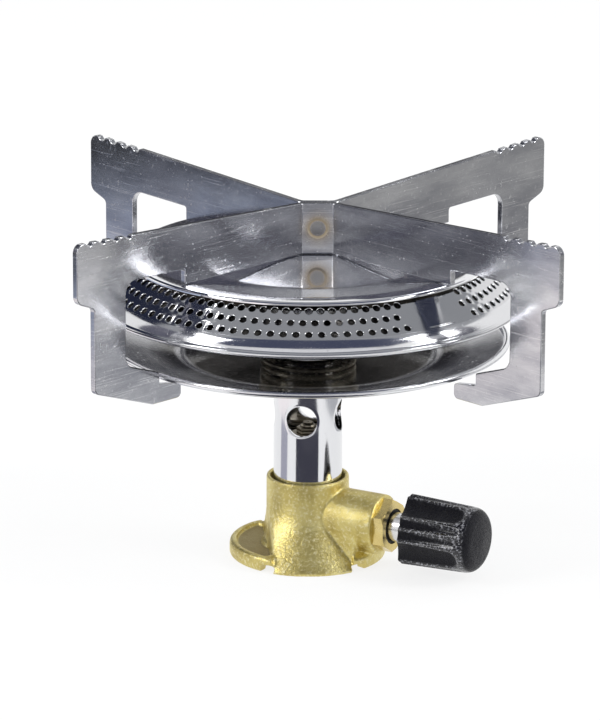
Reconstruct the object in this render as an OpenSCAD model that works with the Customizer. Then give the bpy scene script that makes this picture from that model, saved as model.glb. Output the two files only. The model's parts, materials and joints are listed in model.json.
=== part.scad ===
// Camping stove burner: brass valve body, mixing tube, burner head, sprung tray and cross-shaped pot support.
// Millimetres, +Z up, origin on the burner's axis at the mouth of the cartridge socket.

/* [Valve body] */
// Radius of the base flange
flange_r = 18; // [16:0.5:22]
// Thickness of the base flange
flange_h = 3.6; // [3.2:0.1:5]
// Radius of the upright body
body_r = 9.5; // [9.2:0.1:11]
// Height of the upright body
body_h = 19.1; // [18:0.1:24]
// Radius of the threaded cartridge socket
socket_r = 5.2; // [4.8:0.1:5.4]
// Depth of the socket's thread
socket_depth = 5.2; // [4:0.1:5.4]
// Radius of the valve boss
boss_r = 6.9; // [6.4:0.1:8]
// Reach of the valve boss from the axis
boss_len = 19.9; // [15.6:0.1:24]
// Height of the valve boss
boss_z = 10; // [9.6:0.1:10.6]
// Direction of the valve boss
boss_angle = -29; // [-45:1:0]

/* [Valve] */
// Radius of the spindle's thread
spindle_r = 3; // [2.8:0.1:3.3]
// Radius of the spindle's stem in the gland
stem_r = 2.6; // [2.2:0.1:2.7]
// Radius of the stem's collar that shows beside the knob
collar_r = 3.4; // [2.9:0.1:3.6]
// Hexagon of the gland nut, across flats
nut_af = 11; // [10.6:0.1:14]
// Length of the gland nut's hexagon
nut_h = 2.7; // [2.4:0.1:6]
// Radius of the gland's thread
gland_r = 4.5; // [4.2:0.1:4.8]
// Radial clearance of a turning fit
run_gap = 0.05; // [0.02:0.01:0.08]

/* [Knob] */
// Radius of the control knob
knob_r = 8.1; // [7:0.1:9.5]
// Length of the control knob
knob_len = 19.8; // [16:0.1:26]
// Space between the gland nut and the knob
knob_space = 3; // [2:0.1:6]
// Number of ridge groups round the knob, with a wide finger scallop after each
ridge_groups = 4; // [3:1:4]
// Radius of a narrow flute between two ridges
flute_r = 1.6; // [1.2:0.1:1.8]

/* [Mixing tube] */
// Outer radius of the mixing tube
tube_r = 7.9; // [7.4:0.1:8]
// Wall of the mixing tube
tube_wall = 0.8; // [0.6:0.1:1.2]
// Length of tube between the body and the tray
tube_show = 28.5; // [24:0.1:36]
// Radius of an air hole
air_hole_r = 3.6; // [2.5:0.1:4]
// Height of the air holes above the body
air_hole_rise = 14.7; // [13.5:0.1:20]

/* [Tray] */
// Outer radius of the tray
tray_r = 46; // [42:0.5:48]
// Rise of the tray's cone, in degrees
tray_slope = 11; // [8:0.5:16]
// Sheet of the tray
tray_t = 0.8; // [0.5:0.1:1]
// Radius of the tray's rolled edge
bead_r = 0.75; // [0.6:0.05:1]
// Radius of the tray's flat floor
tray_flat_r = 29; // [20:0.5:34]

/* [Spring] */
// Wire of the tray's spring
wire_d = 1.2; // [0.8:0.1:1.2]
// Outer radius of the spring
spring_r = 11.1; // [10.4:0.1:11.6]
// Turns of the spring
spring_turns = 3.5; // [2:0.5:3.5]
// Height between the tray and the burner bowl
spring_space = 7.8; // [7.4:0.1:14]

/* [Burner head] */
// Radius of the burner head's rim
rim_r = 49.3; // [48:0.1:54]
// Sheet of the burner head
head_t = 0.8; // [0.6:0.1:1]
// Depth of the bowl from its rim to its foot
bowl_depth = 5.1; // [4:0.1:10]
// Radius of the bowl's flat foot
bowl_flat_r = 31; // [20:0.5:36]
// Height of the plain skirt over the rim
skirt_h = 3.6; // [3:0.1:5]
// Inward lean of the skirt
skirt_lean = 2.3; // [1:0.1:3]
// Height of the drilled flame ring
ring_h = 5.7; // [5:0.1:8]
// Inward lean of the flame ring
ring_lean = 6.8; // [5:0.1:8]
// Radius of a flame port
port_r = 0.7; // [0.4:0.05:0.8]
// Rows of flame ports
port_rows = 3; // [2:1:3]
// Pitches of flame ports around one row
port_pitches = 102; // [60:1:104]
// Direction of the flame ring's lapped seam
seam_angle = -50.5; // [-180:0.5:180]
// Plain stretch at the seam, in degrees
seam_plain = 20; // [16:1:40]
// Thickness of the top disc's edge
disc_h = 1.1; // [1:0.1:2]
// Overhang of the top disc past the flame ring
disc_lip = 1.1; // [0.6:0.1:1.5]

/* [Pot support] */
// Sheet of the pot support
sheet_t = 1.5; // [1:0.1:1.8]
// Angle of an arm from the flat at the middle
arm_angle = 45; // [40:1:50]
// Width of the flat at the middle
facet_w = 6.3; // [5.5:0.1:10]
// Inner radius of a bend
bend_r = 0.8; // [0.5:0.1:1.5]
// Height of the support at the middle
facet_h = 11.8; // [9:0.1:15]
// Reach of an arm from the middle
arm_reach = 72.8; // [72:0.1:85]
// Rise of the top edge from the middle to the end
arm_rise = 3.3; // [0:0.1:6]
// Height of the arm's outer end
arm_end_h = 13.4; // [11:0.1:14.5]
// Width of a leg
leg_w = 9.4; // [8:0.1:12]
// Inset of a leg from the arm's end
leg_inset = 5.1; // [3:0.1:8]
// Width of the arm's step over the flames
step_h = 3.5; // [2:0.1:5]
// Reach of the arm's foot on the top disc
foot_reach = 40.3; // [30:0.1:40.3]
// Length of a jaw's finger under the tray
finger_len = 6.6; // [4:0.1:8]
// Depth of a jaw's finger
finger_h = 4.4; // [3:0.1:6]
// Slope of a jaw, in degrees
jaw_slope = 19; // [10:1:25]
// Radius of a pot grip notch
notch_r = 1.1; // [0.6:0.1:1.4]
// Pitch of the pot grip notches
notch_pitch = 3.9; // [3:0.1:5]
// Height of a notch's centre over the arm's top edge
notch_lift = 0.35; // [0:0.05:0.6]
// Pot grip notches on an arm
notch_count = 4; // [2:1:6]
// Side play that the loose support has taken up
support_shift = 2; // [0:0.1:2]

/* [Fits] */
// Gap between a resting piece and its seat
seat_gap = 0.2; // [0.1:0.05:0.3]
// Gap between a jaw and the tray
jaw_gap = 0.3; // [0.2:0.05:0.8]

/* [Hidden] */
$fn = 48;
eps = 0.01;

// Valve body: heights inside it
recess_h = 1.7;
recess_wall = 2.8;
socket_wall = 3;
seal_h = 1.4;
seal_undercut = 0.4;
socket_top = socket_depth + seal_h + 0.2;
tube_seat_z = body_h - 4.6;
tube_grip_h = 2.3;
tube_relief = 0.65;
jet_seat_depth = 1.7;
jet_r = 2;

// Valve: stations along the boss, measured from the body's axis
orifice_r = 0.7;
orifice_back = 2.3;
chamber_s = 1.2;
chamber_r = 2;
thread_s = socket_r + 1;
gland_s = boss_len - 5.3;
packing_len = 1.6;
washer_len = 0.6;
nut_s = boss_len;
nut_end_s = nut_s + nut_h;
nut_recess = 1.2;
nut_recess_r = collar_r + 0.7;
knob_s = nut_end_s + knob_space;
inlet_s = 2.9;
inlet_r = 0.7;
pin_r = 0.8;
seat_pad_r = 1.3;
seat_pad_h = 1.2;
seat_pad_s = chamber_s + 0.1;
spindle_travel = 1.125;

// Tray, spring and head: heights
tray_z = body_h + tube_show;
tray_hub_h = 2;
tray_guide_gap = 0.1;
bowl_z = tray_z + tray_t + spring_space;
rim_z = bowl_z + bowl_depth;
ring_z = rim_z + skirt_h;
ring_top_z = ring_z + ring_h;
ring_r = rim_r - skirt_lean;
ring_top_r = ring_r - ring_lean;
disc_r = ring_top_r + disc_lip;
disc_top_z = ring_top_z + disc_h;
tube_top_z = bowl_z + 3.2;
tray_cone_r = tray_r - bead_r;

// Pot support: heights and places along an arm
foot_z = disc_top_z + seat_gap;
facet_top_z = foot_z + facet_h;
arm_top_z = facet_top_z + arm_rise;
end_low_z = arm_top_z - arm_end_h;
leg_out_s = arm_reach - leg_inset;
leg_in_s = leg_out_s - leg_w;
side_play = support_shift * cos(arm_angle);
step_s = tray_r + side_play + jaw_gap + 0.5;
finger_end_s = step_s - finger_len;
arm_start_s = facet_w / 2 * cos(arm_angle) + (sheet_t + bend_r) * sin(arm_angle);
arm_face_y = facet_w / 2 * sin(arm_angle) - (sheet_t + bend_r) * cos(arm_angle) + bend_r;
finger_tip_z = tray_low(finger_end_s - side_play) - jaw_gap;
finger_root_z = tray_low(step_s - side_play) - jaw_gap;
finger_low_z = finger_root_z - finger_h;
jaw_corner_s = step_s + 2;
jaw_lip_h = 2.7;
jaw_rise = tan(jaw_slope);
window_tilt = 0.5;

// Height of the tray's underside at a radius: the cone, and no higher than the rolled edge
function tray_low(r) = tray_z + max(0, min(r, tray_cone_r) - tray_flat_r) * tan(tray_slope);

// Points of a rounded outline: each corner [x, y, radius] becomes an arc that touches both of its edges
function unit(v) = v / norm(v);
function corner_arc(a, b, c, r, steps = 5) =
    let (p = [b[0], b[1]],
         u = unit([a[0], a[1]] - p),
         w = unit([c[0], c[1]] - p),
         half = acos(u * w) / 2,
         reach = r / tan(half),
         middle = p + unit(u + w) * (r / sin(half)),
         from = p + u * reach - middle,
         to = p + w * reach - middle)
    [for (i = [0:steps])
        let (k = i / steps, sweep = 180 - 2 * half)
        middle + (from * sin((1 - k) * sweep) + to * sin(k * sweep)) / sin(sweep)];
function rounded(corners) =
    let (n = len(corners))
    [for (i = [0:n - 1])
        each (corners[i][2] > 0
            ? corner_arc(corners[(i + n - 1) % n], corners[i], corners[(i + 1) % n], corners[i][2])
            : [[corners[i][0], corners[i][1]]])];

// A slanted strip of sheet in the r-z plane, turned round the axis
module cone_sheet(low, high, t) {
    rotate_extrude()
        polygon([low, [low[0] - t, low[1]], [high[0] - t, high[1]], high]);
}

module ring(outer_r, inner_r, z, h) {
    translate([0, 0, z])
        difference() {
            cylinder(r = outer_r, h = h);
            translate([0, 0, -1]) cylinder(r = inner_r, h = h + 2);
        }
}

// Places a shape along the valve boss: its own z runs outwards from the body's axis
module along_boss(s = 0) {
    rotate([0, 0, boss_angle])
        translate([s, 0, boss_z])
            rotate([0, 90, 0])
                children();
}

module boss_rod(r, from, to) {
    along_boss(from) cylinder(r = r, h = to - from);
}

// A sector of a turned profile, centred on a direction
module turned_sector(direction, width) {
    rotate([0, 0, direction - width / 2])
        rotate_extrude(angle = width)
            children();
}

// Brass valve body

web_direction = -85;
web_side = 0.3;
web_w = 2 * (body_r - web_side);
web_top = 10.5;
web_edge = 0.6;
web_blend = 12;
web_sink = 0.05;
pocket_width = 100;
pocket_wall = 1.7;
pocket_floor = flange_h - 1;
recess_width = 112;
notch_w = 3.4;
notch_h = recess_h - 0.1;
notch_turn = 36.5;
flange_round = 1;
boss_web_w = 2 * (boss_r - 0.2);

// Section of the foot's flare, which runs from the upright down to the flange's edge
module flare_profile() {
    inner_r = body_r - web_sink;
    polygon(rounded([[0, 0, 0], [flange_r - eps, 0, 0], [flange_r - eps, web_edge, 0],
                     [inner_r, web_top, web_blend],
                     [inner_r, web_top + web_blend / 2, 0], [0, web_top + web_blend / 2, 0]]));
}

// Section of the space over that flare, through the flange's height
module flare_space() {
    rise = flange_h + 1;
    lean = (flange_r - eps - body_r + web_sink) / (web_top - web_edge);
    polygon([[flange_r - eps, web_edge], [flange_r + 1, web_edge], [flange_r + 1, web_edge + rise],
             [flange_r - eps - rise * lean, web_edge + rise]]);
}

// A turned section, kept where it lies before or behind the upright and within its width
module foot_span(side) {
    intersection() {
        rotate_extrude() children();
        rotate([0, 0, web_direction + side])
            translate([0, -web_w / 2, -1])
                cube([flange_r + 2, web_w, body_h + 2]);
    }
}

module flange_profile() {
    polygon(rounded([[0, 0, 0], [flange_r - 0.4, 0, 0], [flange_r, 0.4, 0],
                     [flange_r, flange_h, flange_round],
                     [0, flange_h, 0]]));
}

// Round flange whose front and back sweep up to the upright in a flare
module body_forging() {
    difference() {
        rotate_extrude() flange_profile();
        for (side = [0, 180])
            foot_span(side) flare_space();
        for (side = [90, 270])
            turned_sector(web_direction + side, pocket_width)
                translate([body_r + 1, pocket_floor])
                    square([flange_r - body_r - 1 - pocket_wall, flange_h]);
    }
    for (side = [0, 180])
        foot_span(side) flare_profile();
    cylinder(r = body_r, h = body_h);
    boss_rod(boss_r, 0, boss_len);
    boss_web();
}

// Straight sides under the boss, from its middle down to the flange
module boss_web() {
    foot = flange_r - 1.5;
    rotate([0, 0, boss_angle])
        translate([0, boss_web_w / 2, 0])
            rotate([90, 0, 0])
                linear_extrude(boss_web_w)
                    polygon([[0, pocket_floor - 0.5], [foot, pocket_floor - 0.5], [foot, flange_h - 0.4],
                             [foot - 0.8, flange_h + 0.4], [foot - 0.8, boss_z], [0, boss_z]]);
}

module body_recesses() {
    for (side = [90, 270])
        turned_sector(web_direction + side, recess_width)
            translate([socket_r + socket_wall, -1])
                square([flange_r - recess_wall - socket_r - socket_wall, 1 + recess_h]);
    for (side = [0, 180], edge = [-1, 1])
        rotate([0, 0, web_direction + side + edge * notch_turn])
            translate([flange_r - recess_wall - 1, -notch_w / 2, -1])
                cube([recess_wall + 2, notch_w, 1 + notch_h]);
}

module body_bores() {
    translate([0, 0, -1]) cylinder(r = socket_r, h = 1 + socket_depth + eps);
    translate([0, 0, socket_depth]) cylinder(r = socket_r + seal_undercut, h = socket_top - socket_depth);
    translate([0, 0, socket_top - eps]) cylinder(r = pin_r, h = 1.4);
    rotate([0, 0, boss_angle])
        translate([inlet_s, 0, socket_top - eps])
            cylinder(r = inlet_r, h = boss_z - socket_top);
    boss_rod(orifice_r, -orifice_back, chamber_s + eps);
    boss_rod(chamber_r, chamber_s, thread_s + eps);
    boss_rod(spindle_r + run_gap, thread_s, gland_s + eps);
    boss_rod(gland_r, gland_s, boss_len + 1);
    rotate([0, 0, boss_angle])
        translate([orifice_r - orifice_back, 0, boss_z])
            cylinder(r = orifice_r, h = tube_seat_z - jet_seat_depth - boss_z + eps);
    translate([0, 0, tube_seat_z - jet_seat_depth]) cylinder(r = jet_r, h = jet_seat_depth + eps);
    translate([0, 0, tube_seat_z]) cylinder(r = tube_r, h = tube_grip_h + eps);
    translate([0, 0, tube_seat_z + tube_grip_h]) cylinder(r = tube_r + tube_relief, h = body_h);
}

module valve_body() {
    color("#b59a3c")
        difference() {
            body_forging();
            body_recesses();
            body_bores();
        }
}

module cartridge_seal() {
    color("#222222") ring(socket_r + seal_undercut, inlet_s + inlet_r + 0.1, socket_top - seal_h, seal_h);
}

module depressor_pin() {
    color("#c8b26a")
        translate([0, 0, socket_top - seal_h])
            cylinder(r = pin_r, h = seal_h + 1.3);
}

// Jet holder: a ribbed column screwed into the body, with the jet and its filter in its top
holder_shank_h = 1.2;
holder_r = 4.6;
holder_groove = 0.5;
holder_bore_r = 0.9;
holder_top_z = body_h + air_hole_rise - 5;
rib_pitch = 1.6;
rib_w = 0.9;
rib_count = floor((holder_top_z - tube_seat_z) / rib_pitch);
jet_shank_r = 1.6;
jet_shank_h = 3;
jet_hex_af = 4.6;
jet_hex_h = 1.6;
jet_nose_h = 1.2;
jet_hole_r = 0.25;
filter_h = 0.5;

module jet_holder() {
    pocket_z = holder_top_z - jet_shank_h - filter_h;
    color("#8d7436")
        difference() {
            union() {
                translate([0, 0, tube_seat_z - holder_shank_h]) cylinder(r = jet_r, h = holder_shank_h + eps);
                translate([0, 0, tube_seat_z])
                    cylinder(r = holder_r - holder_groove, h = holder_top_z - tube_seat_z);
                for (i = [1:rib_count])
                    translate([0, 0, holder_top_z - i * rib_pitch]) cylinder(r = holder_r, h = rib_w);
            }
            translate([0, 0, tube_seat_z - holder_shank_h - 1]) cylinder(r = holder_bore_r, h = holder_top_z);
            translate([0, 0, pocket_z]) cylinder(r = jet_shank_r, h = jet_shank_h + filter_h + 1);
        }
}

module gas_jet() {
    color("#c9ab4c")
        translate([0, 0, holder_top_z])
            difference() {
                union() {
                    translate([0, 0, -jet_shank_h]) cylinder(r = jet_shank_r, h = jet_shank_h + eps);
                    cylinder(r = jet_hex_af / sqrt(3), h = jet_hex_h, $fn = 6);
                    translate([0, 0, jet_hex_h]) cylinder(r1 = 2, r2 = 1.1, h = jet_nose_h);
                }
                translate([0, 0, -jet_shank_h - 1])
                    cylinder(r = holder_bore_r, h = 1 + jet_shank_h + jet_hex_h / 2);
                cylinder(r = jet_hole_r, h = jet_hex_h + jet_nose_h + 1);
            }
}

module jet_filter() {
    color("#8d8f92")
        translate([0, 0, holder_top_z - jet_shank_h - filter_h])
            cylinder(r = jet_shank_r, h = filter_h);
}

// Mixing tube with four air holes
air_hole_turn = -101.6;

module mixing_tube() {
    color("#c9ccd2")
        difference() {
            ring(tube_r, tube_r - tube_wall, tube_seat_z, tube_top_z - tube_seat_z);
            for (turn = [0, 90])
                rotate([0, 0, air_hole_turn + turn])
                    translate([0, 0, body_h + air_hole_rise])
                        rotate([0, 90, 0])
                            cylinder(r = air_hole_r, h = 3 * tube_r, center = true);
        }
}

// Burner head

nut_wall = 3;

module head_nut() {
    color("#a8a9a6") ring(tube_r + nut_wall, tube_r, bowl_z + head_t, tube_top_z - bowl_z - head_t);
}

// Bowl: flat foot round the tube, shallow cone up to the rim, and a skirt folded back over it
module burner_bowl() {
    fold = head_t / 2;
    seat = ring_r;
    color("#b9bbc0")
        rotate_extrude()
            polygon([[tube_r, bowl_z], [bowl_flat_r, bowl_z], [rim_r - fold, rim_z - fold],
                     [rim_r, rim_z], [rim_r, rim_z + fold], [seat, ring_z], [seat - head_t, ring_z],
                     [rim_r - head_t, rim_z + head_t], [bowl_flat_r - fold / 2, bowl_z + head_t],
                     [tube_r, bowl_z + head_t]]);
}

ring_t = 0.6;
port_slope = atan(ring_h / ring_lean);
port_margin = 0.15;
port_row_step = (1 - 2 * port_margin) / (port_rows - 1);
seam_lap = 10;
seam_lift = 0.35;

function port_open(turn) = abs((turn - seam_angle + 540) % 360 - 180) > seam_plain / 2;

module flame_ports() {
    pitch = 360 / port_pitches;
    for (row = [0:port_rows - 1], i = [0:port_pitches - 1]) {
        share = port_margin + row * port_row_step;
        turn = -90 + (i + (row % 2) / 2) * pitch;
        if (port_open(turn))
            rotate([0, 0, turn])
                translate([ring_top_r + share * ring_lean - ring_t / 2, 0, ring_top_z - share * ring_h])
                    rotate([0, port_slope, 0])
                        cylinder(r = port_r, h = 4 * ring_t, center = true, $fn = 16);
    }
}

// Flame ring: a cone of sheet with rows of ports, lapped and plain at its seam
module flame_ring() {
    color("#9a9ca4")
        difference() {
            union() {
                cone_sheet([ring_r, ring_z], [ring_top_r, ring_top_z], ring_t);
                turned_sector(seam_angle, seam_lap)
                    polygon([[ring_r - ring_t / 2, ring_z], [ring_r + seam_lift, ring_z + seam_lift],
                             [ring_top_r + seam_lift, ring_top_z], [ring_top_r - ring_t / 2, ring_top_z]]);
            }
            flame_ports();
        }
}

module top_disc() {
    round = 0.5;
    color("#cfd1d6")
        rotate_extrude()
            polygon(rounded([[0, ring_top_z, 0], [disc_r, ring_top_z, 0], [disc_r, disc_top_z, round],
                             [0, disc_top_z, 0]]));
}

// Gland and spindle

module gland_nut() {
    color("#c2a548")
        difference() {
            union() {
                boss_rod(gland_r - run_gap, gland_s + packing_len + washer_len, nut_s + eps);
                along_boss(nut_s)
                    intersection() {
                        cylinder(r = nut_af / sqrt(3), h = nut_h, $fn = 6);
                        cylinder(r1 = nut_af / sqrt(3) + nut_h, r2 = nut_af / sqrt(3) - 0.6, h = nut_h);
                    }
            }
            boss_rod(stem_r + run_gap, gland_s, nut_end_s + 1);
            boss_rod(nut_recess_r, nut_end_s - nut_recess, nut_end_s + 1);
        }
}

module gland_packing() {
    section_r = packing_len / 2;
    color("#1c1c1e")
        along_boss(gland_s + section_r)
            rotate_extrude()
                translate([stem_r + run_gap, 0])
                    intersection() {
                        translate([section_r, 0]) circle(r = section_r);
                        translate([0, -section_r]) square([gland_r - stem_r - run_gap, 2 * section_r]);
                    }
}

module gland_washer() {
    color("#9c9ea0")
        along_boss(gland_s + packing_len) ring(gland_r, stem_r + run_gap, 0, washer_len);
}

// Soft ring in the nut's mouth, round the stem's collar
module dust_ring() {
    ring_len = nut_recess - 0.3;
    color("#19191b")
        along_boss(nut_end_s - nut_recess) ring(nut_recess_r, collar_r + run_gap, 0, ring_len);
}

spindle_tip_r = 1.7;
thread_end_s = gland_s - spindle_travel - 0.3;
thread_start_s = thread_s + 0.3;
collar_s = nut_end_s - nut_recess + 0.4;
spindle_end_s = knob_s + 0.7 * knob_len;
collar_in = 1.2;

module valve_spindle() {
    pad_seat_s = seat_pad_s + seat_pad_h;
    color("#c4c6c8")
        difference() {
            union() {
                boss_rod(spindle_tip_r, seat_pad_s + 0.5, thread_start_s + eps);
                boss_rod(spindle_r, thread_start_s, thread_end_s);
                boss_rod(stem_r, thread_end_s - eps, spindle_end_s);
                boss_rod(collar_r, collar_s, knob_s + collar_in);
            }
            boss_rod(seat_pad_r + run_gap, seat_pad_s, pad_seat_s);
        }
}

module seat_disc() {
    color("#2a2320") boss_rod(seat_pad_r, seat_pad_s, seat_pad_s + seat_pad_h);
}

// Knob: turned body with a rounded end, and a bore for the stem. Wide finger scallops take turns with groups
// of three ridges, which two narrow flutes part; all run out before the end. The inner end slopes back at two
// opposite sides, and takes in the stem's collar
scallop_r = 6.5;
scallop_deep = 1.6;
scallop_run = knob_len - 2.2;
flute_deep = 0.85;
flute_run = knob_len - 2.8;
flute_turn = 10.5;
group_turn = 72.7;
knob_round = 3.4;
knob_draft = 0.6;
knob_dome = 0.8;
relief_turn = 71.2;
relief_slope = 14;

// A round groove along the knob that ends in a ball; run is where the ball leaves the knob's surface
module knob_groove(r, deep, run) {
    away = knob_r - deep + r;
    straight = run - sqrt(r * r - (away - knob_r) * (away - knob_r));
    translate([away, 0, -eps]) cylinder(r = r, h = straight + eps);
    translate([away, 0, straight]) sphere(r = r);
}

module control_knob() {
    color("#26262a")
        along_boss(knob_s)
            difference() {
                rotate_extrude()
                    polygon(rounded([[0, 0, 0], [knob_r, 0, 0.4],
                                     [knob_r - knob_draft, knob_len - knob_dome, knob_round],
                                     [0, knob_len, 0]]));
                for (i = [0:ridge_groups - 1])
                    rotate([0, 0, group_turn + i * 360 / ridge_groups]) {
                        rotate([0, 0, 180 / ridge_groups]) knob_groove(scallop_r, scallop_deep, scallop_run);
                        for (side = [-1, 1])
                            rotate([0, 0, side * flute_turn]) knob_groove(flute_r, flute_deep, flute_run);
                    }
                for (side = [0, 180])
                    rotate([0, 0, relief_turn + side])
                        rotate([0, -relief_slope, 0])
                            translate([0, -2 * knob_r, -knob_len]) cube([2 * knob_r, 4 * knob_r, knob_len]);
                translate([0, 0, -1]) cylinder(r = stem_r, h = 1 + spindle_end_s - knob_s);
                translate([0, 0, -1]) cylinder(r = collar_r + run_gap, h = 1 + collar_in);
            }
}

// Tray: guide hub, flat under the spring, cone, and a rolled edge
module tray() {
    rise = tan(tray_slope);
    hub_r = tube_r + tray_guide_gap;
    edge_z = tray_low(tray_cone_r) + bead_r + 0.2;
    color("#b4b6ba")
        rotate_extrude()
            union() {
                polygon([[hub_r, tray_z], [tray_flat_r, tray_z], [tray_cone_r, tray_low(tray_cone_r)],
                         [tray_cone_r, tray_low(tray_cone_r) + tray_t], [tray_flat_r, tray_z + tray_t],
                         [hub_r + tray_t, tray_z + tray_t], [hub_r + tray_t, tray_z + tray_hub_h],
                         [hub_r, tray_z + tray_hub_h]]);
                translate([tray_cone_r, edge_z]) circle(r = bead_r);
            }
}

// Spring: one wire swept along a helix between the tray and the bowl
spring_steps = 24;
wire_sides = 6;
spring_mid_r = spring_r - wire_d / 2;
spring_low_z = tray_z + tray_t + wire_d / 2 + seat_gap;
spring_high_z = bowl_z - wire_d / 2 - seat_gap;
spring_pitch = (spring_high_z - spring_low_z) / spring_turns;
spring_rings = round(spring_turns * spring_steps);
spring_start = 60;

function spring_turn(i) = spring_start + i * 360 / spring_steps;
function spring_centre(i) =
    [spring_mid_r * cos(spring_turn(i)), spring_mid_r * sin(spring_turn(i)),
     spring_low_z + spring_pitch * i / spring_steps];
function wire_point(i, side) =
    let (lead = spring_pitch / (2 * PI * spring_mid_r),
         turn = spring_turn(i),
         outward = [cos(turn), sin(turn), 0],
         across = unit([sin(turn) * lead, -cos(turn) * lead, 1]),
         phi = side * 360 / wire_sides)
    spring_centre(i) + wire_d / 2 * (outward * cos(phi) + across * sin(phi));

spring_gap = min([for (i = [0:spring_rings - spring_steps], k = [-2:2])
                  if (i + spring_steps + k <= spring_rings)
                      norm(spring_centre(i + spring_steps + k) - spring_centre(i)) - wire_d]);
echo("least gap between the spring's turns, mm", spring_gap);

module tray_spring() {
    points = [for (i = [0:spring_rings], side = [0:wire_sides - 1]) wire_point(i, side)];
    walls = [for (i = [0:spring_rings - 1], side = [0:wire_sides - 1])
                 let (a = i * wire_sides + side,
                      b = i * wire_sides + (side + 1) % wire_sides)
                 each [[a, b + wire_sides, b], [a, a + wire_sides, b + wire_sides]]];
    last = spring_rings * wire_sides;
    ends = [for (side = [1:wire_sides - 2]) each [[0, side, side + 1], [last, last + side + 1, last + side]]];
    color("#5c5a55") polyhedron(points = points, faces = concat(walls, ends));
}

// Pot support: two bent sheets, back to back

module arm_outline() {
    difference() {
        polygon(rounded([
            [-trim_reach, foot_z, 0],
            [-trim_reach, facet_top_z, 0],
            [arm_start_s + 0.5, facet_top_z, 0],
            [arm_reach, arm_top_z, 2],
            [arm_reach, end_low_z, 2.2],
            [leg_out_s, end_low_z - 2, 1.2],
            [leg_out_s, finger_low_z + (leg_out_s - jaw_corner_s) * jaw_rise, 1.6],
            [jaw_corner_s, finger_low_z, 1],
            [finger_end_s, finger_low_z, 1.2],
            [finger_end_s, finger_tip_z, 0.8],
            [step_s, finger_root_z, 0.4],
            [step_s, finger_root_z + jaw_lip_h, 0.4],
            [leg_in_s, finger_root_z + jaw_lip_h + (leg_in_s - step_s) * jaw_rise, 3],
            [leg_in_s, foot_z + step_h + window_tilt, 3],
            [foot_reach, foot_z + step_h, 0.6],
            [foot_reach, foot_z, 0.4]]));
        for (i = [1:notch_count])
            translate([arm_reach - i * notch_pitch,
                       arm_top_z - i * notch_pitch * arm_rise / arm_reach + notch_lift])
                circle(r = notch_r, $fn = 24);
    }
}

// How far the trimming outline reaches past the sheet
trim_reach = 9;

// Plan of half a sheet: the flat middle, the bend, and the arm's strip, longer than the arm
module half_plan() {
    far = arm_reach + trim_reach;
    along = [cos(arm_angle), -sin(arm_angle)] * far;
    out = [sin(arm_angle), cos(arm_angle)];
    near_end = along + out * arm_face_y;
    far_end = along + out * (arm_face_y + sheet_t);
    polygon(rounded([
        [0, -sheet_t, 0],
        [(arm_face_y + sheet_t * cos(arm_angle)) / sin(arm_angle), -sheet_t, bend_r],
        [near_end[0], near_end[1], 0],
        [far_end[0], far_end[1], 0],
        [(arm_face_y + sheet_t) / sin(arm_angle), 0, bend_r + sheet_t],
        [0, 0, 0]]));
}

module arm() {
    intersection() {
        translate([0, 0, finger_low_z - 5])
            linear_extrude(arm_top_z - finger_low_z + 10) half_plan();
        rotate([0, 0, -arm_angle])
            translate([0, arm_face_y + sheet_t + trim_reach, 0])
                rotate([90, 0, 0])
                    linear_extrude(sheet_t + 2 * trim_reach) arm_outline();
    }
}

module support_half() {
    arm();
    mirror([1, 0, 0]) arm();
}

module support_front() {
    color("#b8bac0") translate([support_shift, 0, 0]) support_half();
}

module support_rear() {
    color("#aeb0b6") translate([support_shift, 0, 0]) rotate([0, 0, 180]) support_half();
}

valve_body();
cartridge_seal();
depressor_pin();
jet_holder();
gas_jet();
jet_filter();
mixing_tube();
head_nut();
burner_bowl();
flame_ring();
top_disc();
gland_nut();
gland_packing();
gland_washer();
dust_ring();
valve_spindle();
seat_disc();
control_knob();
tray();
tray_spring();
support_front();
support_rear();
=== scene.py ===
import json
import math
import bmesh
import bpy
import numpy as np
from mathutils import Matrix, Vector


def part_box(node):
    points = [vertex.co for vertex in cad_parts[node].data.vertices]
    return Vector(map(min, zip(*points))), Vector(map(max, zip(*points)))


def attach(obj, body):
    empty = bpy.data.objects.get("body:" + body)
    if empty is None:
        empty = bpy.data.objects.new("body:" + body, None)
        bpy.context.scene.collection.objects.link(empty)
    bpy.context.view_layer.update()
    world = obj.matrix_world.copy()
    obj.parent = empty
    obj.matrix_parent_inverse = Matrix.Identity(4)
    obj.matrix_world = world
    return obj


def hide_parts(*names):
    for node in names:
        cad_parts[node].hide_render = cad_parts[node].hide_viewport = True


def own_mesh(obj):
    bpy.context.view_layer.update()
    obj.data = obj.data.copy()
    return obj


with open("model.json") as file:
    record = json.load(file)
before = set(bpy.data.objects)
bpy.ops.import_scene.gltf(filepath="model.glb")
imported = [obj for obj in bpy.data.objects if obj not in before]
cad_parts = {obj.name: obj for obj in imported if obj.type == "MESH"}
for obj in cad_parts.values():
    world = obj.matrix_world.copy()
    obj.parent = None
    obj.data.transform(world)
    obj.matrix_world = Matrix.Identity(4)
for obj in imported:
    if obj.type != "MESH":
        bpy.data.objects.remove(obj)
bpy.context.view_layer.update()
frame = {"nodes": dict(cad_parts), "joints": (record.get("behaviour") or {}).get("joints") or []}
print("stove: frame loaded,", len(frame["nodes"]), "solids")

mm = 0.001
fullTurn = 2 * math.pi
seamGap = 2e-6  # points closer than this are one
cellGap = 8e-6  # the same where cells of a sheet meet


# Meshes

def makeObject(name, verts, faces):
    mesh = bpy.data.meshes.new(name)
    mesh.from_pydata(np.asarray(verts, float).reshape(-1, 3).tolist(), [], faces)
    mesh.validate()
    obj = bpy.data.objects.new(name, mesh)
    bpy.context.scene.collection.objects.link(obj)
    return obj


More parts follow.
